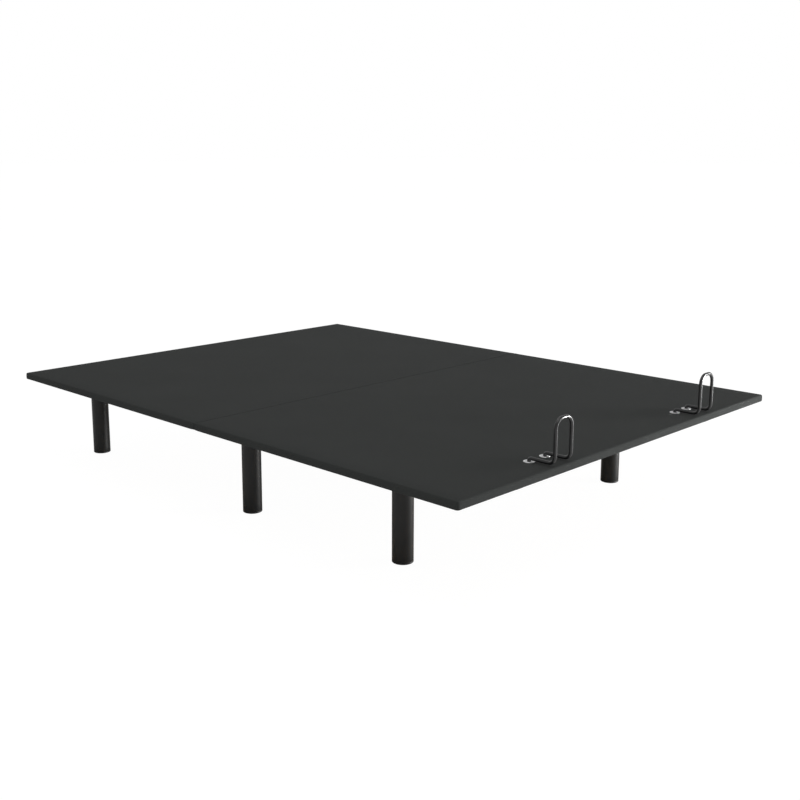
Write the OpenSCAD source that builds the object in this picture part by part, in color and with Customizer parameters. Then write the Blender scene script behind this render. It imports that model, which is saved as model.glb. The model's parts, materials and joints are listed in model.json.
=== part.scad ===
// Adjustable bed base, queen size: a fabric-covered split deck on a bolted steel frame with
// six legs. The head section and the foot sections are each raised by a linear actuator.
// Frame of reference: +Y to the head, +X to the right seen from the foot, +Z up, floor at z = 0.

/* [Deck] */
// Width of the deck
deck_w = 1511; // [960:1:1940]
// Length of the deck
deck_l = 2019; // [1850:1:2140]
// Thickness of each deck board
board_t = 15; // [12:0.5:20]
// Padding and fabric on top of the boards
cover_t = 5; // [3:0.5:8]
// Fabric thickness down the sides of the boards
wrap_t = 3; // [2:0.5:6]
// Radius of the deck corners in plan
corner_r = 8; // [5:1:30]
// Gap between the two covers at the middle of the deck
seam_gap = 2; // [1:0.5:5]

/* [Sections] */
// Length of the head part of the fixed section, from the middle to the head hinge
seat_head_l = 222.5; // [190:0.5:260]
// Length of the foot part of the fixed section, from the middle to the thigh hinge
seat_foot_l = 57; // [50:1:80]
// Length of the thigh section between its two hinges
thigh_l = 330; // [300:1:380]
// Highest angle of the head section
back_max = 60; // [30:1:65]
// Highest angle of the thigh section
thigh_max = 45; // [25:1:45]

/* [Frame] */
// Height of the legs
leg_h = 254; // [180:1:300]
// Diameter of the legs
leg_d = 60; // [45:1:70]
// Height of the frame rails
rail_h = 50.8; // [45:0.1:60]
// Width of the frame rails
rail_w = 40; // [30:1:45]
// Wall of every steel tube
tube_wall = 2; // [1.5:0.5:3]
// Distance between the centre lines of the side rails
rail_span = 1016; // [760:1:1300]
// Height of the low cross rails that carry the actuators
low_rail_h = 25; // [20:1:25]
// Section of the square tubes under the moving sections
sub_tube = 25; // [20:1:28]
// Distance from the head edge of the deck to the end of the frame
head_overhang = 37; // [20:1:60]
// Distance from the foot edge of the deck to the end of the frame
foot_overhang = 376; // [340:1:420]
// How far the middle legs stand outside the line of the side rails
mid_leg_out = 27; // [20:1:35]

/* [Mechanism] */
// Radius of the hinge studs
pin_r = 5; // [4:0.5:5.5]
// Distance from a section hinge to the actuator pin on its lever
lever_l = 125; // [100:1:135]
// Angle of the head lever at rest, measured from straight down towards the foot
back_lever_a = 20; // [10:1:30]
// Angle of the foot lever at rest, measured from straight down towards the head
foot_lever_a = 5; // [0:1:15]
// Distance from an actuator's rear pin to its rod pin at rest
actuator_l = 441; // [420:1:470]
// Distance of each actuator from the centre line of the bed
actuator_x = 95; // [80:1:130]
// Distance from the foot edge of the deck to the calf pins of the foot links
link_inset = 149.5; // [120:0.5:200]

/* [Mattress retainers] */
// Half the distance between the two retainers
retainer_x = 362; // [200:1:420]
// How far the middle of the pair stands to the right of the centre line
retainer_shift = 13; // [0:1:20]
// Distance between the two legs of a retainer
retainer_w = 68; // [50:1:90]
// Height of a retainer above its feet, between rod centres
retainer_h = 116; // [80:1:160]
// Length of the feet of a retainer
retainer_foot = 80; // [50:1:110]
// Radius of the retainer rod
rod_r = 5; // [3:0.5:6]

/* [Hidden] */
$fn = 48;
run_fit = 0.05;             // radial clearance of a running fit
open_fit = 0.6;             // radial clearance of the open pivot of each foot link
side_gap = 3;               // side clearance between a bracket and the piece beside it
plate_t = 5;                // brackets and levers
ear_t = 6;                  // hinge ears on the section tubes
ear_r = pin_r + 3.5;        // round end of a hinge ear
axis_drop = 2;              // hinge axes lie this far below the boards

rail_top = leg_h + rail_h;
board_z = rail_top;
board_top = board_z + board_t;
deck_top = board_top + cover_t;
axis_z = board_z - axis_drop;
swing_depth = deck_top - axis_z;

head_y = deck_l / 2;
foot_y = -deck_l / 2;
back_y = seat_head_l;
thigh_y = -seat_foot_l;
knee_y = thigh_y - thigh_l;

// half the gap between boards at each hinge, so that the raised covers just clear each other
back_gap = swing_depth * tan(back_max / 2) + 0.5;
thigh_gap = swing_depth * tan(thigh_max / 2) + 0.5;
knee_gap = ear_r + 1;

rail_x = rail_span / 2;
rail_in = rail_x - rail_w / 2;
rail_out = rail_x + rail_w / 2;
frame_head = head_y - head_overhang;
frame_foot = foot_y + foot_overhang;
low_rail_top = leg_h + low_rail_h;

// X places of a hinge, from the rail inwards: bracket, gap, ear
bracket_in = rail_in - plate_t;
sub_out = bracket_in - side_gap;
sub_in = sub_out - sub_tube;
sub_z = board_z - sub_tube;
tube_setback = 22;
tube_end_gap = 10;          // from the end of a section tube to the rail it stops short of

// the actuators lie level at rest, with their rear pins at the height of the rod pins
slot_slack = 2.4;           // sideways room of the pin in a lever slot
back_pin_y = back_y - lever_l * sin(back_lever_a);
back_pin_z = axis_z - lever_l * cos(back_lever_a);
foot_pin_y = thigh_y + lever_l * sin(foot_lever_a);
foot_pin_z = axis_z - lever_l * cos(foot_lever_a);
head_rear_y = back_pin_y - actuator_l;
foot_rear_y = foot_pin_y + actuator_l;
back_slot = lever_l * (1 - cos(back_max / 2)) + 2;
foot_slot = lever_l * (1 - cos(thigh_max / 2)) + 2;

// actuator body, measured along its axis from the rear pin
lug_r = 13;
lug_w = 24;
case_start = 18;
case_l = 120;
case_w = 84;
case_h = 74;
guide_r = 19;
guide_bore_r = 13;
guide_end = 372;
rod_tube_r = guide_bore_r - run_fit;
rod_bore_r = 9;
rod_start = 175;
screw_r = 7;
screw_end = 330;
eye_w = 22;
lever_in = eye_w / 2 + 1;
lever_pin_half = lever_in + plate_t + 3;

// foot links: arms parallel to the thigh section and just as long
link_y = foot_y + link_inset + thigh_l;
link_z = leg_h + 12;
link_h = 20;
link_t = 8;
link_pin_r = 6;
link_in = rail_out + plate_t + 2;
link_out = link_in + link_t;

leg_foot_y = frame_foot + leg_d / 2;
leg_head_y = frame_head - leg_d / 2 - 5;
leg_mid_y = 15;
glide_h = 6;
stud_r = 5;
stud_above = 10;            // length of a leg stud above the underside of the frame
stud_below = 7;             // and below the closed top of the leg
leg_mid_x = rail_x + mid_leg_out;

eyelet_r = 8;
flange_r = 15;
retainer_y = foot_y + 1.5;
socket_y = retainer_y + retainer_foot;
flange_t = 1.5;
run_z = deck_top + rod_r + 4;
pin_bend_r = run_z - deck_top - flange_t;
bend_r = 20;
pin_depth = 24;
hoop_r = 26;

// ---- shared shapes ----

// Block between two opposite corners
module block(low, high) {
    translate(low) cube(high - low);
}

// Rectangular tube along Y or X between two opposite corners, open at both ends
module box_tube(low, high, along_y) {
    clear_low = along_y ? [tube_wall, -1, tube_wall] : [-1, tube_wall, tube_wall];
    difference() {
        block(low, high);
        block(low + clear_low, high - clear_low);
    }
}

// Cylinder along X between two X values
module rod_x(x0, x1, y, z, r) {
    translate([min(x0, x1), y, z]) rotate([0, 90, 0]) cylinder(h = abs(x1 - x0), r = r);
}

// Cylinder along Y between two Y values
module rod_y(y0, y1, x, z, r) {
    translate([x, max(y0, y1), z]) rotate([90, 0, 0]) cylinder(h = abs(y1 - y0), r = r);
}

// Flat plate that stands in the YZ plane, from x0 to x1, with its outline in Y and Z
module plate_yz(x0, x1) {
    translate([min(x0, x1), 0, 0])
        rotate([90, 0, 90])
            linear_extrude(height = abs(x1 - x0)) children();
}

// The same solids on the right and, mirrored, on the left
module both_sides() {
    children();
    mirror([1, 0, 0]) children();
}

// Outline of one deck section in plan; a rounded end stands at the head or the foot of the deck
module section_outline(y0, y1, inset, round_foot, round_head) {
    half = deck_w / 2 - inset;
    r = corner_r - inset;
    low = y0 + (round_foot ? inset : 0);
    high = y1 - (round_head ? inset : 0);
    union() {
        translate([-half, low + (round_foot ? r : 0)])
            square([2 * half, high - low - (round_foot ? r : 0) - (round_head ? r : 0)]);
        if (round_foot) {
            translate([-half + r, low]) square([2 * half - 2 * r, r]);
            for (s = [-1, 1]) translate([s * (half - r), low + r]) circle(r);
        }
        if (round_head) {
            translate([-half + r, high - r]) square([2 * half - 2 * r, r]);
            for (s = [-1, 1]) translate([s * (half - r), high - r]) circle(r);
        }
    }
}

// Plywood board of a deck section
module board(y0, y1, round_foot = false, round_head = false) {
    color("burlywood")
        translate([0, 0, board_z])
            linear_extrude(height = board_t)
                section_outline(y0, y1, wrap_t, round_foot, round_head);
}

// Padded fabric over a deck section: a slab on the board, and a skirt down its outer edges
module cover(y0, y1, round_foot = false, round_head = false) {
    color([0.23, 0.235, 0.23])
        difference() {
            translate([0, 0, board_z])
                linear_extrude(height = board_t + cover_t)
                    section_outline(y0, y1, 0, round_foot, round_head);
            translate([0, 0, board_z - 1])
                linear_extrude(height = board_t + 1)
                    section_outline(
                        y0 - (round_foot ? 0 : 1), y1 + (round_head ? 0 : 1),
                        wrap_t, round_foot, round_head
                    );
        }
}

// ---- fixed frame ----

// Side rail of one half frame, with a hole in its underside for the stud of its outer leg
module side_rail(y0, y1, leg_y) {
    color([0.12, 0.12, 0.12])
        difference() {
            box_tube([rail_in, y0, leg_h], [rail_out, y1, rail_top], true);
            translate([rail_x, leg_y, leg_h - 1]) cylinder(h = tube_wall + 2, r = stud_r);
        }
}

module head_rail() { side_rail(0, frame_head, leg_head_y); }
module foot_rail() { side_rail(frame_foot, 0, leg_foot_y); }

module head_rail_right() { head_rail(); }
module head_rail_left() { mirror([1, 0, 0]) head_rail(); }
module foot_rail_right() { foot_rail(); }
module foot_rail_left() { mirror([1, 0, 0]) foot_rail(); }

// Cross rail between the side rails
module cross_rail(y0, y1, top) {
    color([0.12, 0.12, 0.12])
        box_tube([-rail_in, y0, leg_h], [rail_in, y1, top], false);
}

headboard_hole_x = 430;
headboard_hole_gap = 60;
headboard_hole_r = 4.5;

// Head cross rail, with a pair of holes at each end for a headboard bracket
module head_end_rail() {
    color([0.12, 0.12, 0.12])
        difference() {
            cross_rail(frame_head - rail_w, frame_head, rail_top);
            for (s = [-1, 1], k = [-1, 1])
                rod_y(
                    frame_head - rail_w - 1, frame_head + 1,
                    s * headboard_hole_x + k * headboard_hole_gap / 2,
                    leg_h + rail_h / 2, headboard_hole_r
                );
        }
}

module head_joint_rail() { cross_rail(0, rail_w, rail_top); }
module foot_joint_rail() { cross_rail(-rail_w, 0, rail_top); }
module foot_end_rail() { cross_rail(frame_foot, frame_foot + rail_w, low_rail_top); }
module head_motor_rail() { cross_rail(head_rear_y - rail_w, head_rear_y, low_rail_top); }
module foot_motor_rail() { cross_rail(foot_rear_y, foot_rear_y + rail_w, low_rail_top); }

joint_l = 200;
joint_bolt_y = 80;
joint_bolt_r = 4;
shelf_half = 40;

// Angle plate across the joint of the two half frames, with a shelf over each middle leg
module joint_bracket() {
    x0 = rail_out;
    difference() {
        union() {
            block([x0, -joint_l / 2, leg_h], [x0 + plate_t, joint_l / 2, rail_top - 2]);
            block([x0, leg_mid_y - shelf_half, leg_h], [leg_mid_x + leg_d / 2, leg_mid_y + shelf_half, leg_h + plate_t]);
        }
        for (s = [-1, 1], k = [1, 0.4])
            rod_x(x0 - 1, x0 + plate_t + 1, s * joint_bolt_y * k, leg_h + rail_h / 2, joint_bolt_r);
        translate([leg_mid_x, leg_mid_y, leg_h - 1]) cylinder(h = stud_above + 2, r = stud_r);
    }
}

module joint_brackets() {
    color([0.12, 0.12, 0.12]) both_sides() joint_bracket();
}

// Bolts of the joint brackets, with hexagon heads
module frame_bolts() {
    color("silver")
        both_sides()
            for (s = [-1, 1], k = [1, 0.4])
                translate([rail_out, s * joint_bolt_y * k, leg_h + rail_h / 2])
                    rotate([0, 90, 0]) {
                        cylinder(h = plate_t, r = joint_bolt_r);
                        translate([0, 0, plate_t]) cylinder(h = 5.5, r = 7.5, $fn = 6);
                    }
}

// ---- legs ----

leg_wall = 2;
leg_cap_t = 5;
glide_wall = 3;

// Round steel leg with a closed top, at one place under the frame
module leg(x, y) {
    color([0.13, 0.13, 0.13])
        translate([x, y, glide_h])
            difference() {
                cylinder(h = leg_h - glide_h, r = leg_d / 2);
                translate([0, 0, -1]) cylinder(h = leg_h - glide_h - leg_cap_t + 1, r = leg_d / 2 - leg_wall);
                cylinder(h = leg_h, r = stud_r);
            }
}

LEG_PLACES = [
    for (s = [-1, 1], p = [[rail_x, leg_head_y], [leg_mid_x, leg_mid_y], [rail_x, leg_foot_y]])
        [s * p[0], p[1]]
];

module leg_head_left() { leg(-rail_x, leg_head_y); }
module leg_head_right() { leg(rail_x, leg_head_y); }
module leg_mid_left() { leg(-leg_mid_x, leg_mid_y); }
module leg_mid_right() { leg(leg_mid_x, leg_mid_y); }
module leg_foot_left() { leg(-rail_x, leg_foot_y); }
module leg_foot_right() { leg(rail_x, leg_foot_y); }

// Plastic end caps under the legs, plugged into the tubes
module leg_glides() {
    color([0.08, 0.08, 0.08])
        for (p = LEG_PLACES)
            translate([p[0], p[1], 0])
                union() {
                    translate([0, 0, 1.5]) cylinder(h = glide_h - 1.5, r = leg_d / 2);
                    cylinder(h = 1.5, r1 = leg_d / 2 - 1.5, r2 = leg_d / 2, $fn = 48);
                    translate([0, 0, glide_h]) cylinder(h = 12, r = leg_d / 2 - leg_wall);
                }
}

// Threaded studs that hold the legs to the frame, with a nut below each leg top
module leg_studs() {
    color("silver")
        for (p = LEG_PLACES)
            translate([p[0], p[1], leg_h - leg_cap_t]) {
                translate([0, 0, -stud_below]) cylinder(h = stud_below + leg_cap_t + stud_above, r = stud_r);
                translate([0, 0, 1 - stud_below]) cylinder(h = stud_below - 1, r = 9, $fn = 6);
            }
}

// ---- fixed section of the deck ----

module seat_board_head() { board(seam_gap / 2, back_y - back_gap); }
module seat_board_foot() { board(thigh_y + thigh_gap, -seam_gap / 2); }
module seat_cover_head() { cover(seam_gap / 2, back_y - back_gap); }
module seat_cover_foot() { cover(thigh_y + thigh_gap, -seam_gap / 2); }

// ---- hinges on the frame ----

hinge_plate_l = 30;
hinge_plate_h = 34;
stud_end = sub_out - ear_t - 4;

// Bracket on the inner face of a side rail, with the stud that a section turns on
module hinge_bracket(y) {
    union() {
        plate_yz(bracket_in, rail_in)
            union() {
                translate([y - hinge_plate_l / 2, axis_z - hinge_plate_h])
                    square([hinge_plate_l, hinge_plate_h - ear_r]);
                translate([y - ear_r, axis_z - hinge_plate_h]) square([2 * ear_r, hinge_plate_h]);
                translate([y, axis_z]) circle(ear_r);
            }
        rod_x(stud_end, bracket_in + 1, y, axis_z, pin_r);
    }
}

module hinge_brackets() {
    color([0.14, 0.14, 0.14])
        both_sides()
            for (y = [back_y, thigh_y]) hinge_bracket(y);
}

// Plates on the outer faces of the side rails, with the studs of the foot links
module link_brackets() {
    color([0.14, 0.14, 0.14])
        both_sides() {
            block([rail_out, link_y - 25, leg_h + 2], [rail_out + plate_t, link_y + 25, rail_top - 4]);
            rod_x(rail_out + plate_t - 1, link_out + 3, link_y, link_z, link_pin_r);
        }
}

// ---- actuator mounts ----

mount_in = lug_w / 2 + 1;

// Two cheeks under a low cross rail that hold the rear lug of an actuator; dir points to its rod
module motor_bracket(x, y, z, dir) {
    color([0.14, 0.14, 0.14])
        for (s = [-1, 1])
            difference() {
                plate_yz(x + s * mount_in, x + s * (mount_in + plate_t))
                    union() {
                        polygon([
                            [y - dir * rail_w, leg_h], [y, leg_h],
                            [y + dir * lug_r * 0.9, z + lug_r * 0.4], [y - dir * lug_r * 0.9, z - lug_r * 0.4]
                        ]);
                        translate([y, z]) circle(lug_r);
                    }
                rod_x(x + s * (mount_in - 1), x + s * (mount_in + plate_t + 1), y, z, pin_r);
            }
}

module head_motor_bracket() { motor_bracket(-actuator_x, head_rear_y, back_pin_z, 1); }
module foot_motor_bracket() { motor_bracket(actuator_x, foot_rear_y, foot_pin_z, -1); }

// Pins through the brackets and the rear lugs, with a head at one end
module motor_pins() {
    half = mount_in + plate_t;
    color("silver")
        for (m = [[-actuator_x, head_rear_y, back_pin_z], [actuator_x, foot_rear_y, foot_pin_z]]) {
            rod_x(m[0] - half - 3, m[0] + half, m[1], m[2], pin_r);
            rod_x(m[0] + half, m[0] + half + 3, m[1], m[2], pin_r + 3);
        }
}

// ---- electrics ----

box_x = -390;
box_w = 170;
box_l = 80;
box_h = 42;
box_y = 4;
jack_r = 2.9;

// Control box under the head joint rail, hollow, with a hole for the power inlet in its side
module control_box() {
    color([0.1, 0.1, 0.1])
        difference() {
            block([box_x, box_y, leg_h - box_h], [box_x + box_w, box_y + box_l, leg_h]);
            block([box_x + 3, box_y + 3, leg_h - box_h + 3], [box_x + box_w - 3, box_y + box_l - 3, leg_h - 3]);
            rod_x(box_x - 1, box_x + 4, box_y + box_l / 2, leg_h - box_h / 2, 6);
        }
}

// Socket for the plug of the power supply
module power_inlet() {
    y = box_y + box_l / 2;
    z = leg_h - box_h / 2;
    color([0.05, 0.05, 0.05])
        difference() {
            union() {
                rod_x(box_x - 2, box_x, y, z, 8);
                rod_x(box_x, box_x + 14, y, z, 6);
            }
            rod_x(box_x - 3, box_x + 10, y, z, jack_r);
        }
}

// ---- section tubes ----

// Hinge ear from an axis to a section tube that starts at tube_y, between two X values
module hinge_ear(x0, x1, y, tube_y, hole_r) {
    difference() {
        plate_yz(x0, x1)
            union() {
                translate([y, axis_z]) circle(ear_r);
                translate([min(y, tube_y), axis_z - ear_r]) square([abs(tube_y - y), ear_r + axis_drop]);
            }
        rod_x(x0 - 1, x1 + 1, y, axis_z, hole_r);
    }
}

// Closed wall at the end of a section tube, where an ear is welded on
module tube_end(y0, y1) {
    block([sub_in, y0, sub_z], [sub_out, y1, board_z]);
}

// Two tubes under a section, and the ears at their hinge ends
module back_side_tubes() {
    y0 = back_y + tube_setback;
    color([0.14, 0.14, 0.14])
        both_sides()
            union() {
                box_tube([sub_in, y0, sub_z], [sub_out, frame_head - rail_w - tube_end_gap, board_z], true);
                tube_end(y0, y0 + 4);
                hinge_ear(sub_out - ear_t, sub_out, back_y, y0 + 1, pin_r + run_fit);
            }
}

module thigh_side_tubes() {
    y1 = thigh_y - tube_setback;
    y0 = knee_y + tube_setback;
    color([0.14, 0.14, 0.14])
        both_sides()
            union() {
                box_tube([sub_in, y0, sub_z], [sub_out, y1, board_z], true);
                tube_end(y1 - 4, y1);
                tube_end(y0, y0 + 4);
                hinge_ear(sub_out - ear_t, sub_out, thigh_y, y1 - 1, pin_r + run_fit);
                hinge_ear(sub_in, sub_in + ear_t, knee_y, y0 + 1, pin_r);
            }
}

module calf_side_tubes() {
    y1 = knee_y - tube_setback;
    color([0.14, 0.14, 0.14])
        both_sides()
            union() {
                box_tube([sub_in, foot_y + 45, sub_z], [sub_out, y1, board_z], true);
                tube_end(y1 - 4, y1);
                hinge_ear(sub_out - ear_t, sub_out, knee_y, y1 - 1, pin_r + run_fit);
            }
}

// Pins of the knee hinge, held in the thigh ears
module knee_pins() {
    color("silver")
        both_sides() {
            rod_x(sub_in, sub_out + 2, knee_y, axis_z, pin_r);
            rod_x(sub_in - 3, sub_in, knee_y, axis_z, pin_r + 3);
        }
}

module back_cross_tube() {
    color([0.14, 0.14, 0.14])
        box_tube(
            [-sub_in, back_y + tube_setback, sub_z],
            [sub_in, back_y + tube_setback + sub_tube, board_z], false
        );
}

module thigh_cross_tube() {
    color([0.14, 0.14, 0.14])
        box_tube(
            [-sub_in, thigh_y - tube_setback - sub_tube, sub_z],
            [sub_in, thigh_y - tube_setback, board_z], false
        );
}

// ---- levers ----

// Pair of lever plates under a cross tube; dir is +1 when the lever swings to the head
module lever(x, y, angle, dir, slot_l) {
    near = dir * tube_setback;
    far = dir * (tube_setback + sub_tube);
    // direction from the hinge to the slot, and square to it
    d = [-dir * sin(angle), -cos(angle)];
    n = [dir * cos(angle), -sin(angle)];
    half_w = pin_r + slot_slack;
    tip = half_w + 7;
    axis = [y, axis_z];
    top = axis + d * (lever_l - slot_l);
    end = axis + d * lever_l;
    color([0.14, 0.14, 0.14])
        for (s = [-1, 1])
            plate_yz(x + s * lever_in, x + s * (lever_in + plate_t))
                difference() {
                    union() {
                        polygon([
                            [y + near, sub_z], [y + far, sub_z], top + n * tip, end + n * tip,
                            end - n * tip, top - n * tip
                        ]);
                        translate(end) circle(tip);
                    }
                    polygon([top + n * half_w, end + n * half_w, end - n * half_w, top - n * half_w]);
                    translate(top) circle(half_w);
                    translate(end) circle(half_w);
                }
}

module back_lever() { lever(-actuator_x, back_y, back_lever_a, 1, back_slot); }
module thigh_lever() { lever(actuator_x, thigh_y, foot_lever_a, -1, foot_slot); }

// ---- moving boards and covers ----

module back_board() { board(back_y + back_gap, head_y, false, true); }
module back_cover() { cover(back_y + back_gap, head_y, false, true); }
module thigh_board() { board(knee_y + knee_gap, thigh_y - thigh_gap); }
module thigh_cover() { cover(knee_y + knee_gap, thigh_y - thigh_gap); }

SOCKETS = [for (s = [-1, 1], k = [-1, 1]) [retainer_shift + s * retainer_x + k * retainer_w / 2, socket_y]];

module socket_holes() {
    for (p = SOCKETS) translate([p[0], p[1], board_z - 1]) cylinder(h = board_t + cover_t + 2, r = eyelet_r);
}

module calf_board() {
    color("burlywood")
        difference() {
            board(foot_y, knee_y - knee_gap, true, false);
            socket_holes();
        }
}

module calf_cover() {
    color([0.23, 0.235, 0.23])
        difference() {
            cover(foot_y, knee_y - knee_gap, true, false);
            socket_holes();
        }
}

// Zinc sockets in the deck that the retainers plug into, each with a flange on the fabric
module retainer_sockets() {
    color("gainsboro")
        for (p = SOCKETS)
            translate([p[0], p[1], board_z])
                difference() {
                    union() {
                        cylinder(h = board_t + cover_t, r = eyelet_r);
                        translate([0, 0, board_t + cover_t]) cylinder(h = flange_t, r = flange_r);
                    }
                    translate([0, 0, -1]) cylinder(h = board_t + cover_t + 4, r = rod_r + run_fit);
                }
}

// ---- foot links ----

calf_link_y = link_y - thigh_l;

module foot_link() {
    color([0.15, 0.15, 0.15])
        difference() {
            plate_yz(link_in, link_out)
                union() {
                    translate([calf_link_y, link_z - link_h / 2]) square([thigh_l, link_h]);
                    translate([link_y, link_z]) circle(link_h / 2);
                    translate([calf_link_y, link_z]) circle(link_h / 2);
                }
            rod_x(link_in - 1, link_out + 1, link_y, link_z, link_pin_r + run_fit);
            rod_x(link_in - 1, link_out + 1, calf_link_y, link_z, link_pin_r + open_fit);
        }
}

module foot_link_right() { foot_link(); }
module foot_link_left() { mirror([1, 0, 0]) foot_link(); }

// Brackets under the calf board, with the studs of the foot links
module calf_link_brackets() {
    color([0.14, 0.14, 0.14])
        both_sides()
            union() {
                block([rail_out - 20, calf_link_y - 25, board_z - 4], [rail_out + plate_t, calf_link_y + 25, board_z]);
                block(
                    [rail_out, calf_link_y - 14, link_z - 10],
                    [rail_out + plate_t, calf_link_y + 14, board_z]
                );
                rod_x(rail_out + plate_t - 1, link_out + 3, calf_link_y, link_z, link_pin_r);
            }
}

// ---- actuators, drawn along +Y from the rear pin and placed by actuator() ----

// Place an actuator at its rear pin; dir is +1 when its rod points to the head
module actuator(x, y, z, dir) {
    translate([x, y, z]) rotate([0, 0, dir > 0 ? 0 : 180]) children();
}

// Moulded housing of the motor and gears, hollow, with the rear lug
module motor_case() {
    color([0.11, 0.11, 0.11])
        difference() {
            union() {
                block([-case_w / 2, case_start, -case_h / 2], [case_w / 2, case_start + case_l, case_h / 2]);
                rod_x(-lug_w / 2, lug_w / 2, 0, 0, lug_r);
                block([-lug_w / 2, 0, -lug_r], [lug_w / 2, case_start + 1, lug_r]);
            }
            rod_x(-lug_w, lug_w, 0, 0, pin_r + run_fit);
            block(
                [-case_w / 2 + 3, case_start + 3, -case_h / 2 + 3],
                [case_w / 2 - 3, case_start + case_l - 3, case_h / 2 - 3]
            );
            rod_y(case_start + case_l - 4, case_start + case_l + 1, 0, 0, guide_r);
        }
}

// Aluminium tube that guides the rod
module guide_tube() {
    color("silver")
        difference() {
            rod_y(case_start + case_l - 3, guide_end, 0, 0, guide_r);
            rod_y(case_start + case_l - 4, guide_end + 1, 0, 0, guide_bore_r);
        }
}

// Lead screw from the gears in the case
module drive_screw() {
    color("gray")
        union() {
            rod_y(case_start + 12, screw_end, 0, 0, screw_r);
            rod_y(case_start + 3, case_start + 30, 0, 0, screw_r + 12);
        }
}

nut_l = 30;

// Steel rod with its drive nut at the inner end and a cross pin at the outer end
module drive_rod() {
    color("lightgray")
        difference() {
            union() {
                rod_y(rod_start, guide_end + 20, 0, 0, rod_tube_r);
                rod_y(guide_end + 20, actuator_l, 0, 0, 9.5);
                rod_x(-lever_pin_half, lever_pin_half, actuator_l, 0, pin_r);
                rod_x(-eye_w / 2, eye_w / 2, actuator_l, 0, 10);
            }
            rod_y(rod_start - 1, rod_start + nut_l + 1, 0, 0, screw_r + run_fit);
            rod_y(rod_start + nut_l, guide_end, 0, 0, rod_bore_r);
        }
}

module at_head() { actuator(-actuator_x, head_rear_y, back_pin_z, 1) children(); }
module at_foot() { actuator(actuator_x, foot_rear_y, foot_pin_z, -1) children(); }

module head_motor_case() { at_head() motor_case(); }
module head_guide_tube() { at_head() guide_tube(); }
module head_drive_screw() { at_head() drive_screw(); }
module head_drive_rod() { at_head() drive_rod(); }
module foot_motor_case() { at_foot() motor_case(); }
module foot_guide_tube() { at_foot() guide_tube(); }
module foot_drive_screw() { at_foot() drive_screw(); }
module foot_drive_rod() { at_foot() drive_rod(); }

// ---- mattress retainers ----

// Quarter bend of the rod: from +X round to +Y, about the Z axis
module bend(r) {
    rotate_extrude(angle = 90) translate([r, 0]) circle(rod_r);
}

// One side of a retainer: pin, foot and riser, on its own centre line
module retainer_side() {
    z0 = deck_top - pin_depth;
    top_z = run_z + retainer_h;
    union() {
        translate([0, socket_y, z0]) cylinder(h = run_z - pin_bend_r - z0, r = rod_r);
        translate([0, socket_y - pin_bend_r, run_z - pin_bend_r])
            rotate([90, 0, 90]) bend(pin_bend_r);
        rod_y(retainer_y + bend_r, socket_y - pin_bend_r, 0, run_z, rod_r);
        translate([0, retainer_y + bend_r, run_z + bend_r])
            rotate([90, 0, 90]) rotate([0, 0, 180]) bend(bend_r);
        translate([0, retainer_y, run_z + bend_r])
            cylinder(h = top_z - hoop_r - run_z - bend_r, r = rod_r);
    }
}

module retainer(x) {
    top_z = run_z + retainer_h;
    half = retainer_w / 2;
    color([0.1, 0.1, 0.1])
        translate([x, 0, 0])
            union() {
                for (s = [-1, 1]) translate([s * half, 0, 0]) retainer_side();
                translate([half - hoop_r, retainer_y, top_z - hoop_r]) rotate([90, 0, 0]) bend(hoop_r);
                translate([-half + hoop_r, retainer_y, top_z - hoop_r])
                    rotate([90, 0, 0]) rotate([0, 0, 90]) bend(hoop_r);
                rod_x(-half + hoop_r, half - hoop_r, retainer_y, top_z, rod_r);
            }
}

module retainer_left() { retainer(retainer_shift - retainer_x); }
module retainer_right() { retainer(retainer_shift + retainer_x); }

head_rail_left();
head_rail_right();
foot_rail_left();
foot_rail_right();
head_end_rail();
head_joint_rail();
foot_joint_rail();
foot_end_rail();
head_motor_rail();
foot_motor_rail();
joint_brackets();
frame_bolts();
leg_head_left();
leg_head_right();
leg_mid_left();
leg_mid_right();
leg_foot_left();
leg_foot_right();
leg_glides();
leg_studs();
seat_board_head();
seat_board_foot();
seat_cover_head();
seat_cover_foot();
hinge_brackets();
link_brackets();
head_motor_bracket();
foot_motor_bracket();
motor_pins();
control_box();
power_inlet();
back_board();
back_cover();
back_side_tubes();
back_cross_tube();
back_lever();
thigh_board();
thigh_cover();
thigh_side_tubes();
thigh_cross_tube();
thigh_lever();
knee_pins();
calf_board();
calf_cover();
calf_side_tubes();
calf_link_brackets();
retainer_sockets();
foot_link_left();
foot_link_right();
head_motor_case();
head_guide_tube();
head_drive_screw();
head_drive_rod();
foot_motor_case();
foot_guide_tube();
foot_drive_screw();
foot_drive_rod();
retainer_left();
retainer_right();
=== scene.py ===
import json
import math

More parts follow.
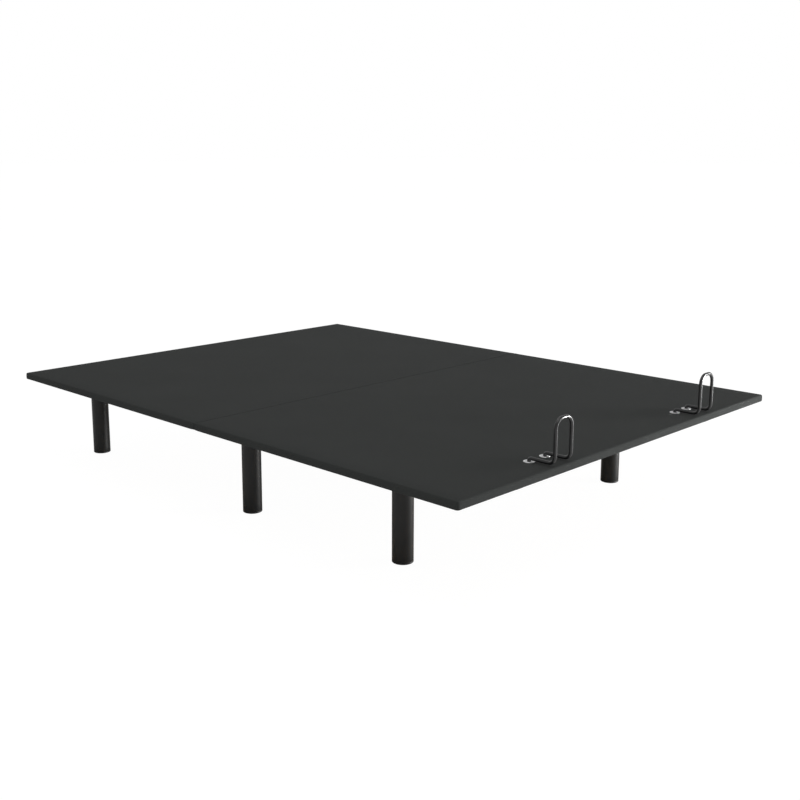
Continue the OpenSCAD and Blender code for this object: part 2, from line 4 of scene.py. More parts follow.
import bmesh
import bpy
import numpy as np
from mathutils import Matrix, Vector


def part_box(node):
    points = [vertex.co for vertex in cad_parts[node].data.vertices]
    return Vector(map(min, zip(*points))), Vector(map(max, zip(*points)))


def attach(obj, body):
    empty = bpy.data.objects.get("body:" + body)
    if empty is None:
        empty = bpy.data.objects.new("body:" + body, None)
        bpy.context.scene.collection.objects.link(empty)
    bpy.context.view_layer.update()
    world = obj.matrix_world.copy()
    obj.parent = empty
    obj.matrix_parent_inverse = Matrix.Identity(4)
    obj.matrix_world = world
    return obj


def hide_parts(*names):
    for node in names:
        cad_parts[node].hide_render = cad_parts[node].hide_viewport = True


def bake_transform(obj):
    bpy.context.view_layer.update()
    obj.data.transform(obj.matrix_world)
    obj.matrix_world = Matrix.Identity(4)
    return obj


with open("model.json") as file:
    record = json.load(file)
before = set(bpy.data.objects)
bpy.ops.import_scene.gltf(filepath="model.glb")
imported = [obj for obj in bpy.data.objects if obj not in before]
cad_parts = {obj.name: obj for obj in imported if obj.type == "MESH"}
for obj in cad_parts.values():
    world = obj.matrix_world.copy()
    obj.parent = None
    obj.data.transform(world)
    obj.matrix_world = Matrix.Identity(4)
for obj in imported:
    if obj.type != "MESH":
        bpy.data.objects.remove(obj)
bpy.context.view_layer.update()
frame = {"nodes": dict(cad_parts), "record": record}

# ---------------------------------------------------------------------------------------------
# Studio: a camera low over one foot corner of the bed, a white floor running into a white
# surround, a low soft lamp beside the foot end that draws the bright line down each leg, a large
# one overhead and a weak one behind. None of it is part of the bed.

CAMERA_AZIMUTH = math.radians(-45.412)
CAMERA_ELEVATION = math.radians(10.727)
CAMERA_AT = (-2.5397, -2.5324, 0.7939)      # from the middle of the deck's top, in metres
SENSOR = 36                                 # mm
LENS = 48.71                                # mm
SHIFT = (0.0206, -0.0625)
MM = 0.001                                  # metres


def hex_colour(text):
    """Linear colour with alpha from an sRGB hex value such as '3b3c3b'."""
    srgb = np.array([int(text[i:i + 2], 16) / 255 for i in (0, 2, 4)])
    linear = np.where(srgb <= 0.04045, srgb / 12.92, ((srgb + 0.055) / 1.055) ** 2.4)
    return (*linear.tolist(), 1.0)


def add_node(tree, kind, links=(), values=(), **settings):
    """Add a node to a tree, with its properties, socket values and incoming links.

    settings are properties of the node, values are (socket, value) pairs, and links are
    (socket, source) pairs, where a source is a node, for its first output, or (node, output).
    """
    node = tree.nodes.new(kind)
    for name, value in settings.items():
        setattr(node, name, value)
    for socket, value in values:
        node.inputs[socket].default_value = value
    for socket, source in links:
        out = source[0].outputs[source[1]] if isinstance(source, tuple) else source.outputs[0]
        tree.links.new(out, node.inputs[socket])
    return node


def new_material(name, values):
    """A material with its tree and shader, the shader's sockets set from (socket, value) pairs."""
    material = bpy.data.materials.new(name)
    material.use_nodes = True
    tree = material.node_tree
    shader = tree.nodes["Principled BSDF"]
    for socket, value in values:
        shader.inputs[socket].default_value = value
    return material, tree, shader


def tone_ramp(tree, factor, stops):
    """A colour ramp over a 0 to 1 factor, from (place, sRGB hex) stops."""
    ramp = add_node(tree, "ShaderNodeValToRGB", [("Fac", factor)])
    elements = ramp.color_ramp.elements
    while len(elements) < len(stops):
        elements.new(0.5)
    for element, (place, text) in zip(elements, stops):
        element.position = place
        element.color = hex_colour(text)
    return ramp


deck_low, deck_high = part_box("seat_cover_head")
deck_top = deck_high[2]

camera_data = bpy.data.cameras.new("camera")
camera_data.sensor_width = SENSOR
camera_data.lens = LENS
camera_data.shift_x, camera_data.shift_y = SHIFT
camera_data.clip_end = 100
camera = bpy.data.objects.new("camera", camera_data)
camera.location = (CAMERA_AT[0], CAMERA_AT[1], CAMERA_AT[2] + deck_top)
camera.rotation_euler = (math.pi / 2 - CAMERA_ELEVATION, 0, CAMERA_AZIMUTH)
bpy.context.scene.collection.objects.link(camera)
bpy.context.scene.camera = camera
bpy.context.scene.view_settings.view_transform = "Standard"

# the surround looks white, and as a light it is a weaker even fill
FILL = 0.44
world = bpy.data.worlds.new("studio")
world.use_nodes = True
world_tree = world.node_tree
seen = add_node(world_tree, "ShaderNodeLightPath")
fill = add_node(
    world_tree, "ShaderNodeMath", [(0, (seen, "Is Camera Ray"))], [(1, 1.0 - FILL), (2, FILL)],
    operation="MULTIPLY_ADD",
)
background = world_tree.nodes["Background"]
background.inputs["Color"].default_value = (1, 1, 1, 1)
world_tree.links.new(fill.outputs[0], background.inputs["Strength"])
bpy.context.scene.world = world


def area_lamp(name, at, target, size, watts):
    """A square soft box at a place, turned to face a target."""
    data = bpy.data.lights.new(name, "AREA")
    data.shape = "SQUARE"
    data.size = size
    data.energy = watts
    lamp = bpy.data.objects.new(name, data)
    away = np.array(at, float) - np.array(target, float)
    flat = math.hypot(away[0], away[1])
    lamp.location = at
    lamp.rotation_euler = (math.atan2(flat, away[2]), 0, math.atan2(away[0], -away[1]))
    bpy.context.scene.collection.objects.link(lamp)


area_lamp("key_softbox", (2.6, -3.0, 0.34), (0, -0.4, 0.2), 0.62, 140)
area_lamp("top_softbox", (-1.6, -1.4, 5.5), (0, 0, 0.3), 4.0, 71)
area_lamp("back_softbox", (3.2, 3.4, 1.5), (0, -0.6, 0.3), 2.0, 6)

FLOOR_HALF = 60.0            # metres
FLOOR_DROP = 0.0003          # below the leg caps, so that no two faces lie in one plane
floor_mesh = bpy.data.meshes.new("studio_floor")
floor_corners = [
    (x * FLOOR_HALF, y * FLOOR_HALF, -FLOOR_DROP) for x, y in ((-1, -1), (1, -1), (1, 1), (-1, 1))
]
floor_mesh.from_pydata(floor_corners, [], [(0, 1, 2, 3)])
floor = bpy.data.objects.new("studio_floor", floor_mesh)
bpy.context.scene.collection.objects.link(floor)
# a light table of white opal acrylic, glowing from below as far as it is seen, so that the bed
# stands on white with only a trace of shadow; its grain is a very faint mottle
GLOW = 0.94
opal, opal_tree, opal_shader = new_material("opal_acrylic_backlit", [("Roughness", 0.9)])
opal_place = add_node(opal_tree, "ShaderNodeTexCoord")
opal_grain = add_node(
    opal_tree, "ShaderNodeTexNoise", [("Vector", (opal_place, "Object"))], [("Scale", 40.0)]
)
opal_tone = tone_ramp(opal_tree, opal_grain, [(0.0, "fafafa"), (1.0, "ffffff")])
opal_tree.links.new(opal_tone.outputs[0], opal_shader.inputs["Base Color"])
opal_seen = add_node(opal_tree, "ShaderNodeLightPath")
opal_share = add_node(
    opal_tree, "ShaderNodeMath", [(0, (opal_seen, "Is Camera Ray"))], [(1, GLOW)],
    operation="MULTIPLY",
)
opal_light = add_node(
    opal_tree, "ShaderNodeEmission", (), [("Color", (1, 1, 1, 1)), ("Strength", 1.04)]
)
opal_both = add_node(
    opal_tree, "ShaderNodeMixShader", [(0, opal_share), (1, opal_shader), (2, opal_light)]
)
opal_tree.links.new(opal_both.outputs[0], opal_tree.nodes["Material Output"].inputs["Surface"])
floor_mesh.materials.append(opal)

# ---------------------------------------------------------------------------------------------
# Deck covers: charcoal polyester cloth over 5 mm of foam, pulled round the edges of the boards
# and stapled under them. The head half is one cover; the foot half is one cover too, made here
# in two lengths that meet edge to edge in the middle of the thigh section.

DECK_W = (deck_high[0] - deck_low[0]) / MM
TOP = deck_top / MM
BOARD_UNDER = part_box("back_board")[0][2] / MM
HEAD_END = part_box("back_cover")[1][1] / MM
FOOT_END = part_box("calf_cover")[0][1] / MM
SEAM_CLOTH = 0.65            # thickness of the cloth alone, down the boards' ends at the seam
SEAM_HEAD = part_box("seat_cover_head")[0][1] / MM - SEAM_CLOTH
SEAM_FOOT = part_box("seat_cover_foot")[1][1] / MM + SEAM_CLOTH
CORNER_R = 8                 # deck corners in plan
SEAM_CORNER_R = 3.2          # corners beside the middle seam
EDGE_ROLL = 4.5              # rounding of the cloth over the top edge
SEAM_ROLL = 2.4              # and beside the seam
SEAM_RUN = 16                # the rounding tightens over this length before the seam
UNDER_ROLL = 2               # rounding under the side
TUCK = 30                    # width of the cloth stapled under the boards
SEAM_TUCK = 3.6
UNDER_CLOTH = 1.3            # folded cloth, under the boards
CLOTH_UNDER = BOARD_UNDER - UNDER_CLOTH
SEAM_UNDER = BOARD_UNDER + 0.05  # beside the seam the cloth ends just short of the undersides
BOARD_GAP = 0.1              # from the boards' undersides to the inside of the cloth
SEAM_LIP = 1.0               # height of the cloth's end beside the seam
RING_GAP = 0.05              # keeps the two innermost rings apart
SIDE_BULGE = 0.35            # the sides swell by this much half way down
SEAM_TURN = 0.4              # turn under the side, beside the seam
SIDE_FOAM = 2.9              # thickness of cloth and foam at the sides
TOP_FOAM = 4.8               # and on top
HINGE_REACH = 40             # rows are closer over this length each side of a hinge
HINGE_MARGIN = 8             # close rows run on past that length by this much
HINGE_STEP = 4.0             # between rows at a hinge
ROW_STEP = 25                # and elsewhere
RUN_ROWS = 5                 # rows before a rounded corner
CORNER_ROWS = 9              # rows across it
COLUMNS = 36                 # of each cover
SPLIT_Y = -222.0             # where the two lengths of the foot cover meet

joint_at = {joint["name"]: joint for joint in frame["record"]["behaviour"]["joints"]}
HEAD_HINGE = joint_at["head_tilt"]["pos_m"][1] / MM
THIGH_HINGE = joint_at["thigh_tilt"]["pos_m"][1] / MM
KNEE_HINGE = joint_at["knee_bend"]["pos_m"][1] / MM


def end_rows(end, way, corner, roll, tuck, under):
    """Rows across a rounded closed end, from where the edge starts to change to the end itself.

    Each row is (y, half width, outward x, outward y, roll, tuck, under). The last three ease to
    the end's own values over a run before the corner, by 3 t^2 - 2 t^3. Along the corner's
    quarter turn a, the flat top reaches (corner - roll) out from the corner's centre.
    """
    own = np.array([roll, tuck, under])
    side = np.array([EDGE_ROLL, TUCK, CLOTH_UNDER])
    t = np.linspace(0, 1, RUN_ROWS + 1)[:-1, None]
    run = side + (own - side) * (3 * t ** 2 - 2 * t ** 3)
    run_y = end - way * (corner + SEAM_RUN * (1 - t))
    a = np.radians(np.linspace(0, 90, CORNER_ROWS))[:, None]
    quarter = own * np.ones_like(a)
    rows = np.concatenate([
        np.concatenate([run_y, DECK_W / 2 - run[:, :1], 1 + 0 * t, 0 * t, run], axis=1),
        np.concatenate([
            end - way * corner + way * (corner - roll) * np.sin(a),
            DECK_W / 2 - corner + (corner - roll) * np.cos(a), np.cos(a), way * np.sin(a), quarter,
        ], axis=1),
    ])
    return rows if way > 0 else rows[::-1]


def straight_rows(y0, y1, hinges):
    """Rows between two ends, closer together over the hinges."""
    y = [np.linspace(y0, y1, max(3, int((y1 - y0) / ROW_STEP)) + 1)]
    for hinge in hinges:
        reach = HINGE_REACH + HINGE_MARGIN
        y.append(np.clip(np.arange(hinge - reach, hinge + reach + 0.1, HINGE_STEP), y0, y1))
    y = np.unique(np.round(np.concatenate(y), 3))
    y = y[np.concatenate([[True], np.diff(y) > 1.0])]
    y[-1] = y1
    ones = np.ones_like(y)
    return np.stack([
        y, ones * (DECK_W / 2 - EDGE_ROLL), ones, ones * 0, ones * EDGE_ROLL,
        ones * TUCK, ones * CLOTH_UNDER,
    ], axis=1)


def edge_profile(roll, tuck, under):
    """The cloth's section from the flat top out, down, under and back inside.

    Each point is (distance in from the outline, z). The outside goes over a quarter turn of
    radius roll, down the side, round a quarter turn under it and in along the board to the
    staples; the inside comes back against the board. Arrays run over the points and the edge.
    """
    a = np.radians([15, 30, 45, 60, 75, 90])[:, None]
    b = np.radians([0, 30, 60, 90])[:, None]
    flat = np.ones_like(roll)
    side = np.array([0.3, 0.55, 0.8])[:, None]
    turn = SEAM_TURN + (UNDER_ROLL - SEAM_TURN) * (tuck - SEAM_TUCK) / (TUCK - SEAM_TUCK)
    low = under + turn
    high = TOP - roll
    bulge = -SIDE_BULGE * np.sin(np.pi * side)
    foam = (SIDE_FOAM * flat)[None]
    inset = np.concatenate([
        roll * (1 - np.sin(a)), bulge * flat, turn * (1 - np.cos(b)),
        turn + (tuck - turn) * np.array([0.35, 0.7, 1.0])[:, None], tuck[None], foam, foam,
    ])
    inner = np.where(under < BOARD_UNDER, BOARD_UNDER - BOARD_GAP, under + SEAM_LIP)[None]
    z = np.concatenate([
        TOP - roll * (1 - np.cos(a)), high + (low - high) * side, low - turn * np.sin(b),
        under * np.ones((3, 1)), inner, inner + RING_GAP, ((TOP - TOP_FOAM) * flat)[None],
    ])
    return inset, z


def build_mesh(name, points, faces, cloth=None, crease=50):
    """An object from points in mm: smooth, but sharp over the crease angle.

    cloth is an optional UV map, a place in mm for each point.
    """
    mesh = bpy.data.meshes.new(name)
    mesh.from_pydata((np.asarray(points) * MM).tolist(), [], [list(map(int, f)) for f in faces])
    mesh.validate()
    mesh.polygons.foreach_set("use_smooth", np.ones(len(mesh.polygons), bool))
    mesh.set_sharp_from_angle(angle=math.radians(crease))
    if cloth is not None:
        corners = np.empty(len(mesh.loops), np.int32)
        mesh.loops.foreach_get("vertex_index", corners)
        layer = mesh.uv_layers.new(name="cloth")
        layer.data.foreach_set("uv", (np.asarray(cloth)[corners] * MM).astype(np.float32).ravel())
    piece = bpy.data.objects.new(name, mesh)
    bpy.context.scene.collection.objects.link(piece)
    return piece


def cover_piece(name, rows, foot_closed, head_closed):
    """One closed cover: a grid of rows and columns for the top, rings round its edge, and inside.

    Top points are (share of half width, row). The edge chain runs counter-clockwise round the
    grid, and each ring is the chain moved out along its outward direction by the profile.
    The cloth map unrolls the edge flat: chain point plus outward direction times arc length.
    """
    closed = foot_closed and head_closed
    size = (len(rows), COLUMNS + 1)
    share = np.linspace(-1, 1, size[1])
    top = np.stack([
        share[None] * rows[:, 1:2], np.repeat(rows[:, 0:1], size[1], 1), np.full(size, TOP)
    ], axis=-1)
    index = np.arange(size[0] * size[1]).reshape(size)
    out = np.zeros((*size, 2))
    out[:, 0] = rows[:, 2:4] * (-1, 1)
    out[:, -1] = rows[:, 2:4]
    out[0, 1:-1] = (0, -1)
    out[-1, 1:-1] = (0, 1)
    if closed:
        chain = np.concatenate([index[0], index[1:, -1], index[-1, -2::-1], index[-2:0:-1, 0]])
    elif foot_closed:
        chain = np.concatenate([index[::-1, 0], index[0, 1:], index[1:, -1]])
    else:
        chain = np.concatenate([index[:, -1], index[-1, -2::-1], index[-2::-1, 0]])
    row_of = chain // size[1]
    base = top.reshape(-1, 3)[chain]
    away = out.reshape(-1, 2)[chain]
    roll, tuck, under = rows[row_of, 4], rows[row_of, 5], rows[row_of, 6]
    inset, z = edge_profile(roll, tuck, under)
    ring_xy = base[None, :, :2] + (roll - inset)[..., None] * away[None]
    rings = np.concatenate([ring_xy, z[..., None]], axis=-1)
    step = np.linalg.norm(np.diff(np.concatenate([base[None], rings]), axis=0), axis=-1)
    along = np.cumsum(step, axis=0)
    inside = top.reshape(-1, 3) - (0, 0, TOP_FOAM)
    points = np.concatenate([top.reshape(-1, 3), rings.reshape(-1, 3), inside])
    flat_xy = top.reshape(-1, 3)[:, :2]
    cloth = np.concatenate([
        flat_xy, (base[None, :, :2] + along[..., None] * away[None]).reshape(-1, 2), flat_xy
    ])
    ring_index = index.size + np.arange(rings[..., 0].size).reshape(rings.shape[:2])
    inner_start = index.size + ring_index.size
    strip = np.concatenate([chain[None], ring_index, (chain + inner_start)[None]])
    upper, lower = strip[:-1], strip[1:]
    if closed:
        quads = np.stack([upper, lower, np.roll(lower, -1, 1), np.roll(upper, -1, 1)], axis=-1)
    else:
        quads = np.stack([upper[:, :-1], lower[:, :-1], lower[:, 1:], upper[:, 1:]], axis=-1)
    grid = np.stack([index[:-1, :-1], index[:-1, 1:], index[1:, 1:], index[1:, :-1]], axis=-1)
    grid = grid.reshape(-1, 4)
    faces = grid.tolist() + quads.reshape(-1, 4).tolist() + (grid[:, ::-1] + inner_start).tolist()
    if not closed:
        row = index[0] if head_closed else index[-1][::-1]
        inner_row = row + inner_start
        faces += np.stack([row[1:], row[:-1], inner_row[:-1], inner_row[1:]], axis=-1).tolist()
        faces += [strip[:, 0].tolist(), strip[::-1, -1].tolist()]
    return build_mesh(name, points, faces, cloth)


# woven polyester upholstery: a plain weave of heathered charcoal yarns, matt with a faint sheen
# at low angles. The yarns are 0.8 mm apart in the cloth and drawn at 1.6 mm so that they show.
YARN = 1.6
cloth_material, cloth_tree, cloth_shader = new_material("polyester_weave_charcoal", [
    ("Roughness", 0.92), ("Specular IOR Level", 0.12), ("Sheen Weight", 0.03), ("Sheen Roughness", 0.6),
])
cloth_uv = add_node(cloth_tree, "ShaderNodeUVMap", uv_map="cloth")
cloth_axes = add_node(cloth_tree, "ShaderNodeSeparateXYZ", [(0, cloth_uv)])
yarn_waves = []
for axis in ("X", "Y"):
    turns = add_node(
        cloth_tree, "ShaderNodeMath", [(0, (cloth_axes, axis))], [(1, math.pi / (YARN * MM))],
        operation="MULTIPLY",
    )
    yarn_waves.append(add_node(cloth_tree, "ShaderNodeMath", [(0, turns)], operation="SINE"))
weave = add_node(
    cloth_tree, "ShaderNodeMath", [(0, yarn_waves[0]), (1, yarn_waves[1])], operation="MULTIPLY"
)
heather = add_node(
    cloth_tree, "ShaderNodeTexNoise", [("Vector", cloth_uv)],
    [("Scale", 260.0), ("Detail", 3.0), ("Roughness", 0.6)],
)
drift = add_node(
    cloth_tree, "ShaderNodeTexNoise", [("Vector", cloth_uv)], [("Scale", 4.0), ("Detail", 2.0)]
)
heather_share = add_node(
    cloth_tree, "ShaderNodeMath", [(0, heather)], [(1, 0.75)], operation="MULTIPLY"
)
cloth_mix = add_node(
    cloth_tree, "ShaderNodeMath", [(0, drift), (2, heather_share)], [(1, 0.25)],
    operation="MULTIPLY_ADD",
)
cloth_tone = tone_ramp(cloth_tree, cloth_mix, [(0.25, "2e302f"), (0.5, "343635"), (0.75, "3a3c3b")])
cloth_tree.links.new(cloth_tone.outputs[0], cloth_shader.inputs["Base Color"])
weave_bump = add_node(
    cloth_tree, "ShaderNodeBump", [("Height", weave)], [("Strength", 0.25), ("Distance", 0.0003)]
)
soft_bump = add_node(
    cloth_tree, "ShaderNodeBump", [("Height", heather), ("Normal", weave_bump)],
    [("Strength", 0.2), ("Distance", 0.0004)],
)
cloth_tree.links.new(soft_bump.outputs[0], cloth_shader.inputs["Normal"])

head_rows = np.concatenate([
    end_rows(SEAM_HEAD, -1, SEAM_CORNER_R, SEAM_ROLL, SEAM_TUCK, SEAM_UNDER),
    straight_rows(
        SEAM_HEAD + SEAM_CORNER_R + SEAM_RUN, HEAD_END - CORNER_R - SEAM_RUN, [HEAD_HINGE]
    )[1:-1],
    end_rows(HEAD_END, 1, CORNER_R, EDGE_ROLL, TUCK, CLOTH_UNDER),
])
head_cover = cover_piece("head_half_cover", head_rows, True, True)
thigh_rows = np.concatenate([
    straight_rows(SPLIT_Y, SEAM_FOOT - SEAM_CORNER_R - SEAM_RUN, [THIGH_HINGE])[:-1],
    end_rows(SEAM_FOOT, 1, SEAM_CORNER_R, SEAM_ROLL, SEAM_TUCK, SEAM_UNDER),
])
thigh_cover = cover_piece("foot_half_cover_upper", thigh_rows, False, True)
calf_rows = np.concatenate([
    end_rows(FOOT_END, -1, CORNER_R, EDGE_ROLL, TUCK, CLOTH_UNDER),
    straight_rows(FOOT_END + CORNER_R + SEAM_RUN, SPLIT_Y, [KNEE_HINGE])[1:],
])
calf_cover = cover_piece("foot_half_cover_lower", calf_rows, True, False)

# ---------------------------------------------------------------------------------------------
# Retainer sockets: four bright zinc-plated steel tubes pressed into the foot board, each with a
# flange that holds the cloth down. A retainer's ends drop into them.

SOCKET_R = 8
SOCKET_BORE_R = 5.05
FLANGE_R = 15
FLANGE_T = 1.5
CLOTH_GRIP = 0.4             # the hole in the cover is this much tighter than the socket
SOCKET_SIDES = 48
CUTTER_SIDES = 24
WELD_GAP = 0.01              # points closer than this are one point
socket_low, socket_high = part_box("retainer_sockets")
ROD_R = 5                    # of the retainers
SOCKET_Y = (socket_low[1] + socket_high[1]) / 2 / MM
SOCKETS = [
    (corner[0] / MM + inward * ROD_R, SOCKET_Y)
    for body in ("retainer_left", "retainer_right") for corner, inward in zip(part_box(body), (1, -1))
]


def turned(profile, places, sides):
    """Points and faces of a profile turned round a vertical axis, once at each place.

    profile is a closed loop of (radius, z); the point at turn t is (r cos t, r sin t, z). A loop
    that goes up the outside and comes back down inside, or along the axis, faces outward.
    """
    profile = np.asarray(profile, float)
    t = np.linspace(0, 2 * np.pi, sides, endpoint=False)
    ring = np.stack([
        profile[:, :1] * np.cos(t), profile[:, :1] * np.sin(t), np.repeat(profile[:, 1:], sides, 1)
    ], axis=-1)
    k = np.arange(ring.shape[0] * sides).reshape(-1, sides)
    near, far = k, np.roll(k, -1, 0)
    quads = np.stack([near, np.roll(near, -1, 1), np.roll(far, -1, 1), far], axis=-1).reshape(-1, 4)
    points = np.concatenate([ring.reshape(-1, 3) + (x, y, 0) for x, y in places])
    faces = np.concatenate([quads + i * k.size for i in range(len(places))])
    return points, faces


def weld(piece):
    """Merge the doubled points of a piece, such as a turned profile's on its axis."""
    shape = bmesh.new()
    shape.from_mesh(piece.data)
    bmesh.ops.remove_doubles(shape, verts=shape.verts, dist=WELD_GAP * MM)
    bmesh.ops.dissolve_degenerate(shape, edges=shape.edges, dist=WELD_GAP * MM * 0.1)
    bmesh.ops.recalc_face_normals(shape, faces=shape.faces)
    shape.to_mesh(piece.data)
    shape.free()


def cut_holes(piece, places, radius, low, high):
    """Cut round holes through a piece from z low to z high, with the cutter applied."""
    loop = [(0, low), (radius, low), (radius, high), (0, high)]
    cutter = build_mesh("cutter", *turned(loop, places, CUTTER_SIDES))
    weld(cutter)
    cut = piece.modifiers.new("holes", "BOOLEAN")
    cut.object = cutter
    cut.operation = "DIFFERENCE"
    cut.solver = "EXACT"
    bpy.context.view_layer.update()
    final = piece.evaluated_get(bpy.context.evaluated_depsgraph_get())
    result = bpy.data.meshes.new_from_object(final)
    piece.modifiers.clear()
    piece.data = result
    bpy.data.objects.remove(cutter)


cut_holes(calf_cover, SOCKETS, SOCKET_R - CLOTH_GRIP, BOARD_UNDER - 10, TOP + 5)

for cover, bodies, hinge, way, nodes in (
    (head_cover, ("base", "back"), HEAD_HINGE, 1, ("seat_cover_head", "back_cover")),
    (thigh_cover, ("base", "thigh"), THIGH_HINGE, -1, ("seat_cover_foot", "thigh_cover")),
    (calf_cover, ("thigh", "calf"), KNEE_HINGE, -1, ("calf_cover",)),
):
    cover.data.materials.clear()
    cover.data.materials.append(cloth_material)
    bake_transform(cover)
    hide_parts(*nodes)

# up the tube, out under the flange, over its rounded rim and back to the rounded mouth
socket_loop = [
    (SOCKET_BORE_R, BOARD_UNDER), (SOCKET_R, BOARD_UNDER),
    (SOCKET_R, TOP), (FLANGE_R - 0.2, TOP),
    (FLANGE_R, TOP + 0.3), (FLANGE_R - 0.1, TOP + 0.8),
    (FLANGE_R - 0.6, TOP + 1.25), (FLANGE_R - 1.4, TOP + FLANGE_T),
    (SOCKET_BORE_R + 1.2, TOP + FLANGE_T), (SOCKET_BORE_R + 0.5, TOP + FLANGE_T - 0.2),
    (SOCKET_BORE_R, TOP + FLANGE_T - 0.8),
]
sockets = build_mesh("socket_flanges", *turned(socket_loop, SOCKETS, SOCKET_SIDES), crease=30)

# bright zinc plate: a thin bluish metal skin over pressed steel, smooth but slightly cloudy,
# so that it mirrors the lamps softly and looks near white under them
zinc_bright, zinc_bright_tree, zinc_bright_shader = new_material("zinc_plate_bright", [
    ("Metallic", 1.0), ("Roughness", 0.3),
])
zinc_place = add_node(zinc_bright_tree, "ShaderNodeTexCoord")
zinc_cloud = add_node(
    zinc_bright_tree, "ShaderNodeTexNoise", [("Vector", (zinc_place, "Object"))], [("Scale", 300.0)]
)
zinc_tone = tone_ramp(zinc_bright_tree, zinc_cloud, [(0.3, "e9eaeb"), (0.7, "f6f6f6")])
zinc_bright_tree.links.new(zinc_tone.outputs[0], zinc_bright_shader.inputs["Base Color"])
sockets.data.materials.append(zinc_bright)
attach(sockets, "calf")
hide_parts("retainer_sockets")

# ---------------------------------------------------------------------------------------------
# Mattress retainers: 10 mm steel rod bent cold to a hoop with two feet that run back over the
# deck and turn down into the sockets, finished in gloss black. They lift straight out.

PIN_DEPTH = 24               # of each end below the deck's top
FOOT_BEND_R = 20             # between a foot and its riser
HOOP_R = 26                  # top corners
FOOT_RISE = 4                # between the deck and a foot
FOOT_Z = TOP + ROD_R + FOOT_RISE
ROD_CHAMFER = 0.8
ROD_SIDES = 24
PIN_BEND_R = FOOT_Z - TOP - FLANGE_T


def arc(centre, radius, start, stop, count=11):
    """Points of an arc in a plane, at centre + radius (cos a, sin a), a in degrees."""
    a = np.radians(np.linspace(start, stop, count))
    return np.stack([centre[0] + radius * np.cos(a), centre[1] + radius * np.sin(a)], axis=1)


def tube_faces(rings, sides):
    """Faces that join a stack of rings of points in order, with both ends closed."""
    k = np.arange(rings * sides).reshape(rings, sides)
    quads = np.stack([k[:-1], np.roll(k[:-1], -1, 1), np.roll(k[1:], -1, 1), k[1:]], axis=-1)
    return quads.reshape(-1, 4).tolist() + [k[0, ::-1].tolist(), k[-1].tolist()]


def swept(path, radius):
    """Points and faces of a round rod along a path, its ends chamfered and closed.

    Each ring lies across the path: path point + r (u cos t + v sin t), where u is the part of
    the diagonal (1, 1, 1) across the path's direction and v is direction cross u.
    """
    path = np.asarray(path, float)
    along = np.gradient(path, axis=0)
    along /= np.linalg.norm(along, axis=1, keepdims=True)
    u = 1 - along * along.sum(1, keepdims=True)
    u /= np.linalg.norm(u, axis=1, keepdims=True)
    v = np.cross(along, u)
    size = np.full(len(path) + 2, float(radius))
    size[0] = size[-1] = radius - ROD_CHAMFER
    centre = np.concatenate([
        path[:1] - ROD_CHAMFER * along[:1], path, path[-1:] + ROD_CHAMFER * along[-1:]
    ])
    u, v = (np.concatenate([w[:1], w, w[-1:]]) for w in (u, v))
    t = np.linspace(0, 2 * np.pi, ROD_SIDES, endpoint=False)[:, None]
    across = u[:, None] * np.cos(t) + v[:, None] * np.sin(t)
    points = centre[:, None] + size[:, None, None] * across
    return points.reshape(-1, 3), tube_faces(len(centre), ROD_SIDES)


# gloss black paint on drawn steel: a hard even film that draws thin bright lines along the rod
rod_paint, rod_paint_tree, rod_paint_shader = new_material("gloss_paint_black", [
    ("Roughness", 0.28), ("Coat Weight", 0.5), ("Coat Roughness", 0.12),
])
rod_place = add_node(rod_paint_tree, "ShaderNodeTexCoord")
rod_flow = add_node(
    rod_paint_tree, "ShaderNodeTexNoise", [("Vector", (rod_place, "Object"))], [("Scale", 120.0)]
)
rod_tone = tone_ramp(rod_paint_tree, rod_flow, [(0.2, "121213"), (0.8, "171718")])
rod_paint_tree.links.new(rod_tone.outputs[0], rod_paint_shader.inputs["Base Color"])
rod_peel = add_node(
    rod_paint_tree, "ShaderNodeBump", [("Height", rod_flow)], [("Strength", 0.15), ("Distance", 0.0002)]
)
rod_paint_tree.links.new(rod_peel.outputs[0], rod_paint_shader.inputs["Normal"])

for body in ("retainer_left", "retainer_right"):
    low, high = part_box(body)
    middle = (low[0] + high[0]) / 2 / MM
    half = (high[0] - low[0]) / 2 / MM - ROD_R
    riser_y = low[1] / MM + ROD_R
    hoop_z = high[2] / MM - ROD_R
    side_yz = np.concatenate([
        [(SOCKET_Y, TOP - PIN_DEPTH + ROD_CHAMFER), (SOCKET_Y, TOP)],
        arc((SOCKET_Y - PIN_BEND_R, FOOT_Z - PIN_BEND_R), PIN_BEND_R, 0, 90),
        [((SOCKET_Y + riser_y) / 2, FOOT_Z)],
        arc((riser_y + FOOT_BEND_R, FOOT_Z + FOOT_BEND_R), FOOT_BEND_R, 270, 180),
        [(riser_y, (FOOT_Z + hoop_z) / 2)],
    ])
    corner_xz = arc((HOOP_R - half, hoop_z - HOOP_R), HOOP_R, 180, 90)
    left_side = np.concatenate([
        np.column_stack([np.full(len(side_yz), middle - half), side_yz]),
        np.column_stack([
            corner_xz[:, 0] + middle, np.full(len(corner_xz), riser_y), corner_xz[:, 1]
        ]),
    ])
    right_side = left_side[::-1] * (-1, 1, 1) + (2 * middle, 0, 0)
    hoop = build_mesh("hoop_" + body, *swept(np.concatenate([left_side, right_side]), ROD_R))
    hoop.data.materials.append(rod_paint)
    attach(hoop, body)
    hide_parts(body)

# ---------------------------------------------------------------------------------------------
# Deck boards: 15 mm plywood panels, cut square and left bare, screwed to the tubes below them.
# They show only from underneath, inside the tucked edges of the cloth.


def finish_nodes(material, *nodes):
    """Give CAD nodes a material through their objects' slots."""
    for node in nodes:
        piece = frame["nodes"][node]
        if not piece.material_slots:
            piece.data.materials.append(material)
        for place in piece.material_slots:
            place.material = material


